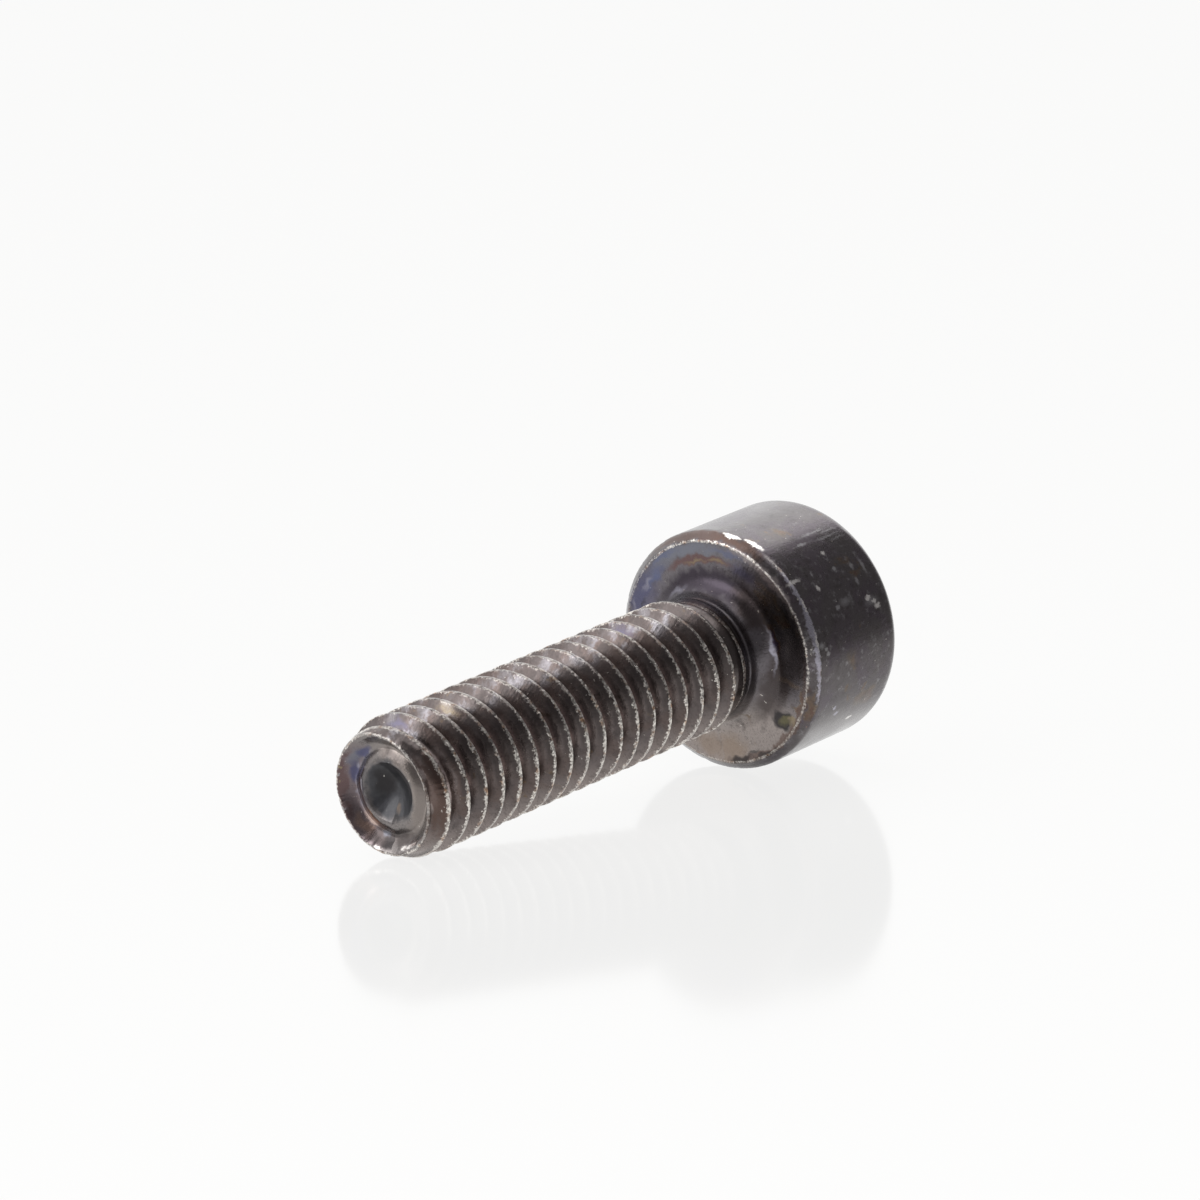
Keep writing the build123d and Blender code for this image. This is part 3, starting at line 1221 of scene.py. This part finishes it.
    def wear(self, sheet: Sheet, polar: object, crest: object, rim: object, cloud: object) -> Socket:
        """Bare metal on the thread's crests and on worn edges.

        The crests are worn less where they face up, and the tip's rim less on the upper side of
        the camera's half. The bevel's inner edge is worn nearly all round, and the head's outer
        edge only on the camera's side. Spans of turn are in degrees of azimuth.

        Args:
            sheet: the material's nodes.
            polar: reach, radius and azimuth.
            crest: distance from the nearest crest, made jagged.
            rim: distance from the nearest worn edge, made jagged.
            cloud: broad noise.

        Returns:
            The share's socket.
        """
        parts = sheet.parts(polar)
        reach, turn = parts["X"], parts["Z"]
        upper = sheet.span(turn, -28, -6, 0.9, self.crest_low)
        lower = sheet.span(turn, 34, 68, 0.0, 1.0 - self.crest_low)
        worn = sheet.times(sheet.span(crest, 0.066, 0.046), sheet.math(Step.ADD, upper, lower))
        worn = sheet.times(worn, sheet.span(cloud, 0.3, 0.6, 0.75, 1.0))
        near = sheet.times(sheet.span(turn, 26, 44, 0.0, 0.5), sheet.span(turn, 118, 98))
        inner = sheet.times(sheet.span(turn, -70, -20, 0.35, 0.9),
                            sheet.span(turn, 130, 80, 0.5, 1.0))
        tip = sheet.math(Step.MOST, sheet.span(turn, -20, -45), sheet.span(turn, 120, 145))
        kept = sheet.blend(sheet.span(reach, -0.06, -0.16), inner, near)
        kept = sheet.blend(sheet.span(reach, 9, 10), kept, sheet.span(tip, 0, 1, 0.4, 1.0))
        edge = sheet.times(sheet.span(rim, 0.040, 0.005, 0.0, 0.9), kept)
        return sheet.math(Step.MOST, worn, edge)

    def build(self, axis: ScrewAxis) -> bpy.types.Material:
        """Builds the material.

        Args:
            axis: where the screw lies.

        Returns:
            The material.
        """
        material = bpy.data.materials.new("black_oxide_steel")
        material.use_nodes = True
        sheet = Sheet(material.node_tree)
        shader = material.node_tree.nodes["Principled BSDF"]
        place = self.coordinates(sheet, axis)
        loose = sheet.polar(sheet.warped(place, 3.0, 0.45))
        exact = sheet.polar(sheet.warped(place, 12.0, 0.17))
        crest = sheet.attribute("from_crest")
        rim = sheet.attribute("rim")
        cloud = sheet.noise(place, 0.9, 4.0, 0.6, 0.4)
        spots = sheet.noise(place, 3.2, 4.0, 0.62)
        grain = sheet.noise(place, 16.0, 3.0, 0.6)
        lines = sheet.stretched(sheet.polar(place), (0.55, 1.0, 0.5))
        drawn = sheet.noise(lines, 1.0, 3.0, 0.6)

        colour = self.zones(sheet, place, exact, crest, cloud)
        colour = self.tempered(sheet, loose, place, colour)
        colour = sheet.mix(sheet.span(spots, 0.5, 0.74, 0.0, 0.5), colour, self.dirt)
        colour = sheet.mix(sheet.span(grain, 0.48, 0.76, 0.0, 0.5), colour, self.dirt)
        for stain in STAINS:
            colour = sheet.mix(stain.mask(sheet, loose), colour, stain.colour)

        ragged = sheet.span(spots, 0.3, 0.7, -0.016, 0.022)
        fine = sheet.span(grain, 0.3, 0.7, -0.022, 0.02)
        jagged = sheet.math(Step.ADD, ragged, fine)
        worn = self.wear(sheet, exact, sheet.math(Step.ADD, crest, jagged),
                         sheet.math(Step.ADD, rim, jagged), cloud)
        beads = sheet.noise(place, 14.0, 2.0, 0.6)
        worn = sheet.times(worn, sheet.span(beads, 0.40, 0.60, 0.3, 1.0))
        speck = sheet.span(sheet.noise(place, 7.5, 3.0, 0.55), 0.70, 0.75, 0.0, 0.5)
        worn = sheet.math(Step.MOST, worn, speck)
        bare = sheet.mix(sheet.span(sheet.noise(place, 4.0, 3.0), 0.50, 0.70), self.crest, COPPER)
        colour = sheet.mix(worn, colour, bare)
        for mark in MARKS:
            colour = sheet.mix(mark.mask(sheet, exact), colour, mark.colour)

        rough = sheet.span(cloud, 0.3, 0.7, self.roughness - 0.04, self.roughness + 0.05)
        rough = sheet.blend(worn, rough, self.crest_roughness)
        dull = Patch(*on_face(2.12, 30, 0.44, 78), 0.85, 0.65).mask(sheet, loose)
        cup = Patch(*on_end(0.2, 0, 0.6, 400), 1.0, 0.9).mask(sheet, exact)
        rough = sheet.blend(cup, rough, self.cup_roughness)
        coat = sheet.span(sheet.math(Step.MOST, worn, dull), 0.0, 0.8, self.coat, 0.0)
        height = sheet.math(Step.ADD, sheet.times(spots, 0.55),
                            sheet.times(grain, sheet.span(crest, 0.07, 0.04, 0.22, 0.8)))
        height = sheet.math(Step.ADD, height, sheet.times(drawn, 0.3))
        bump = sheet.node("ShaderNodeBump")
        for label, value in (("Height", height), ("Strength", 1.0),
                             ("Distance", self.bump_height * MM)):
            sheet.set(bump.inputs[label], value)
        for label, value in (("Base Color", colour), ("Roughness", rough), ("Coat Weight", coat),
                             ("Normal", bump.outputs["Normal"]),
                             ("Coat Roughness", self.coat_roughness), ("Metallic", 1.0)):
            sheet.set(shader.inputs[label], value)
        return material


@dataclass(frozen=True)
class Table:
    """White table top, a little glossy, that keeps a faint image and shadow of the screw."""

    half_size: float = 3.0
    colour: Colour = (0.93, 0.925, 0.92)
    cloud_scale: float = 30.0
    cloud_shade: float = 0.985
    roughness: float = 0.6
    seen_white: Colour = (0.945, 0.945, 0.94)
    mirror: float = 0.10
    mirror_roughness: float = 0.1
    mirror_colour: tuple[float, float, float, float] = (0.97, 0.97, 0.97, 1.0)
    glow: float = 0.96
    # Painted shade: the dim values darken the table where the screw's reflections see it, away from the
    # screw on one side
    dim_painted_shade: Colour = (0.30, 0.295, 0.29)
    dim_from: float = 0.010
    dim_to: float = 0.042
    dim_side: float = 87.0
    dim_edge: tuple[float, float] = (-0.003, 0.006)

    def finish(self) -> bpy.types.Material:
        """Builds the table's material.

        The camera and reflections see it as plain white, except that the screw's reflections see a
        painted shade on it away from the screw on one side; a little gloss lies over all.

        Returns:
            The material.
        """
        material = bpy.data.materials.new("white_table")
        material.use_nodes = True
        sheet = Sheet(material.node_tree)
        shader = material.node_tree.nodes["Principled BSDF"]
        place = sheet.node("ShaderNodeTexCoord").outputs["Object"]
        cloud = sheet.noise(place, self.cloud_scale, 2.0)
        shade = tuple(self.cloud_shade * c for c in self.colour)
        for label, value in (("Base Color", sheet.mix(cloud, self.colour, shade)),
                             ("Roughness", self.roughness), ("Specular IOR Level", 0.0)):
            sheet.set(shader.inputs[label], value)
        path = sheet.node("ShaderNodeLightPath").outputs
        # Painted shade seen only in reflections: beyond a distance from the screw and on one side, the
        # table's glow turns to the darker colour
        far = sheet.span(sheet.length(place), self.dim_from, self.dim_to)
        dim = sheet.times(far, sheet.span(sheet.dot(place, direction(self.dim_side)),
                                          *self.dim_edge))
        dim = sheet.times(dim, path["Is Glossy Ray"])
        plain = sheet.node("ShaderNodeEmission", sheet.mix(dim, self.seen_white, self.dim_painted_shade))
        seen = sheet.math(Step.MOST, path["Is Camera Ray"], path["Is Glossy Ray"])
        seen = sheet.math(Step.MOST, seen, path["Is Transmission Ray"])
        both = sheet.node("ShaderNodeMixShader", sheet.times(seen, self.glow),
                          shader.outputs["BSDF"], plain.outputs["Emission"])
        gloss = sheet.node("ShaderNodeBsdfGlossy", self.mirror_colour, self.mirror_roughness)
        top = sheet.node("ShaderNodeMixShader", self.mirror, both.outputs[0], gloss.outputs[0])
        output = material.node_tree.nodes["Material Output"]
        sheet.set(output.inputs["Surface"], top.outputs[0])
        return material

    def build(self) -> bpy.types.Object:
        """Builds the table as a flat square at the height of the floor.

        Returns:
            The object.
        """
        reach = self.half_size
        mesh = bpy.data.meshes.new("table_top")
        mesh.from_pydata([(-reach, -reach, 0), (reach, -reach, 0), (reach, reach, 0),
                          (-reach, reach, 0)], [], [(0, 1, 2, 3)])
        mesh.materials.append(self.finish())
        table = bpy.data.objects.new("table_top", mesh)
        bpy.context.scene.collection.objects.link(table)
        return table


@dataclass(frozen=True)
class Studio:
    """Soft light of a studio: a white wall behind and to the left, a ceiling light, a dim room."""

    wall_start: float = 187.0
    wall_end: float = 350.0
    wall_edge: float = 0.06
    wall_low: float = 1.0
    wall_middle: float = 1.45
    wall_high: float = 2.1
    ceiling: float = 1.5
    room: Colour = (0.25, 0.245, 0.25)
    box_azimuth: float = 330.0
    box_elevation: float = 27.0
    box_edge: tuple[float, float] = (0.945, 0.978)
    box: float = 3.4
    middle_rise: tuple[float, float] = (0.05, 0.4)
    high_rise: tuple[float, float] = (0.5, 0.7)
    ceiling_rise: tuple[float, float] = (0.8, 0.92)

    def side(self, sheet: Sheet, way: object, azimuth: float) -> Socket:
        """1 to the left of the vertical plane at an azimuth from +X, in degrees, and 0 beyond."""
        return sheet.span(sheet.dot(way, direction(azimuth + 90)), -self.wall_edge, self.wall_edge)

    def build(self) -> None:
        """Builds the world: the wall between two azimuths, the soft box, ceiling and room."""
        world = bpy.data.worlds.new("studio")
        world.use_nodes = True
        bpy.context.scene.world = world
        sheet = Sheet(world.node_tree)
        way = sheet.node("ShaderNodeTexCoord").outputs["Generated"]
        up = sheet.parts(way)["Z"]
        wall = sheet.times(self.side(sheet, way, self.wall_start),
                           self.side(sheet, way, self.wall_end - 180))
        levels = (self.wall_low, self.wall_middle, self.wall_high, self.ceiling, self.box)
        low, middle, high, top, box = ((v, v, v) for v in levels)
        bright = sheet.mix(sheet.span(up, *self.middle_rise), low, middle)
        bright = sheet.mix(sheet.span(up, *self.high_rise), bright, high)
        colour = sheet.mix(wall, self.room, bright)
        colour = sheet.mix(sheet.span(up, *self.ceiling_rise), colour, top)
        toward = sheet.dot(way, direction(self.box_azimuth, self.box_elevation))
        colour = sheet.mix(sheet.span(toward, *self.box_edge), colour, box)
        sheet.set(world.node_tree.nodes["Background"].inputs["Color"], colour)


@dataclass(frozen=True)
class Camera:
    """Pinhole camera of the photograph, in millimetres and degrees, with no roll."""

    place: tuple[float, float, float] = (121.14699, 99.85129, 37.13023)
    azimuth: float = 39.537
    elevation: float = 11.346
    focal_length: float = 177.444
    sensor: float = 36.0
    clip_metres: tuple[float, float] = (0.01, 20.0)

    def build(self) -> bpy.types.Object:
        """Builds the camera, looking back along its azimuth and down by its elevation.

        Returns:
            The camera object.
        """
        data = bpy.data.cameras.new("camera")
        data.lens, data.sensor_width = self.focal_length, self.sensor
        data.clip_start, data.clip_end = self.clip_metres
        ahead = -Vector(direction(self.azimuth, self.elevation))
        camera = bpy.data.objects.new("camera", data)
        camera.location = Vector(self.place) * MM
        camera.rotation_mode = "QUATERNION"
        camera.rotation_quaternion = ahead.to_track_quat("-Z", "Y")
        bpy.context.scene.collection.objects.link(camera)
        bpy.context.scene.camera = camera
        return camera


def main() -> None:
    """Builds the camera, the light, the table and the screw."""
    logging.basicConfig(level=logging.INFO, format="%(name)s: %(message)s")
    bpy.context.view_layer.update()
    bpy.context.scene.view_settings.view_transform = "Standard"
    Camera().build()
    log.info("camera in place")
    Studio().build()
    table = Table().build()
    log.info("studio and table built")

    axis = ScrewAxis.from_record(frame["record"])
    screw = CapScrew(axis, Head(radius=axis.head_radius),
                     thread=Thread(crest_radius=axis.crest_radius)).build()
    screw.data.materials.append(OxideSteel().build(axis))
    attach(screw, "root")
    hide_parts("screw")
    log.info("cap_screw: %d vertices, %d faces", len(screw.data.vertices), len(screw.data.polygons))


if __name__ == "__main__":
    main()
